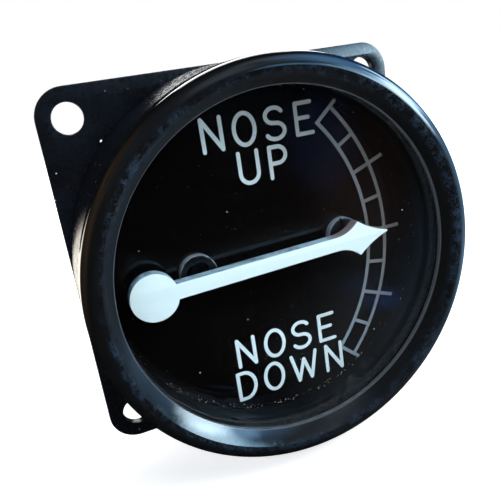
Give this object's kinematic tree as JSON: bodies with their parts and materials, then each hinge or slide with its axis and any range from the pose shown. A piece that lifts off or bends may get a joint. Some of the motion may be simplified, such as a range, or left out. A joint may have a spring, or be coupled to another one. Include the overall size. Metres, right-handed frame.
{
  "type": "trim indicator",
  "caption": "Round aircraft trim indicator on a square panel flange, with a white arrow pointer over an engraved arc scale, worn black bezel and glass",
  "frame": {"origin": "Centre of the four panel holes, on the front face of the flange", "axes": "The dial faces -Y. Right across the dial is +X and the dial's top is +Z. The drive nozzle points along +Y"},
  "size_m": [0.0604, 0.0446, 0.0604],
  "materials": {
    "bezel_enamel": "black enamel worn to bare metal along the ridge",
    "clear_glass": "clear flat glass, dusty",
    "black_rubber": "plain black rubber",
    "black_gloss": "gloss black enamel",
    "dial_laminate": "gloss black engraving laminate",
    "scale_fill": "paint filled into the engraving",
    "black_hardware": "blackened brass, thin bright rim",
    "turned_brass": "plain turned brass",
    "flange_paint": "black paint, dusty",
    "plain_steel": "turned steel",
    "blued_steel": "blued spring steel",
    "pointer_paint": "white paint, worn at the edges"
  },
  "bodies": {
    "housing": {"bezel_ring": "bezel_enamel", "cover_glass": "clear_glass", "glass_gasket": "black_rubber", "spacer_ring": "black_gloss", "dial_plate": "dial_laminate", "scale_inlay": "scale_fill", "dial_screw": "black_hardware", "pointer_bush": "black_hardware", "bush_nut": "turned_brass", "case_drum": "black_gloss", "flange_plate": "flange_paint", "flange_screws": "plain_steel", "front_plate": "turned_brass", "pillars": "turned_brass", "pillar_screws": "plain_steel", "back_plate": "turned_brass", "arbor_bushes": "turned_brass", "stop_pins": "plain_steel", "spring_stud": "turned_brass", "hairspring": "blued_steel", "rear_cover": "black_gloss", "cover_gasket": "black_rubber", "cover_screws": "plain_steel", "drive_bushes": "turned_brass", "drive_union": "turned_brass"},
    "pointer_movement": {"pointer": "pointer_paint", "pointer_hub": "black_hardware", "pointer_spindle": "plain_steel", "sector_gear": "turned_brass", "sector_collet": "turned_brass", "spring_collet": "turned_brass"},
    "transfer_train": {"transfer_arbor": "plain_steel", "transfer_wheel": "turned_brass", "transfer_pinion": "plain_steel"},
    "drive_input": {"drive_spindle": "plain_steel", "drive_pinion": "plain_steel", "spindle_collar": "plain_steel"}
  },
  "joints": [
    {"name": "pointer_swing", "type": "hinge", "parent": "housing", "child": "pointer_movement", "pos_m": [-0.012, 0, 0], "axis": [0, -1, 0], "range_deg": [-43.5, 40.5]},
    {"name": "transfer_spin", "type": "hinge", "parent": "housing", "child": "transfer_train", "pos_m": [0.009, 0, 0], "axis": [0, -1, 0], "range_deg": [-244, 262]},
    {"name": "drive_spin", "type": "hinge", "parent": "housing", "child": "drive_input", "pos_m": [0, 0, 0], "axis": [0, -1, 0], "range_deg": [-523, 487]}
  ],
  "couplings": [
    {"joint": "transfer_spin", "follows": "pointer_swing", "ratio": -6},
    {"joint": "drive_spin", "follows": "pointer_swing", "ratio": 12}
  ]
}
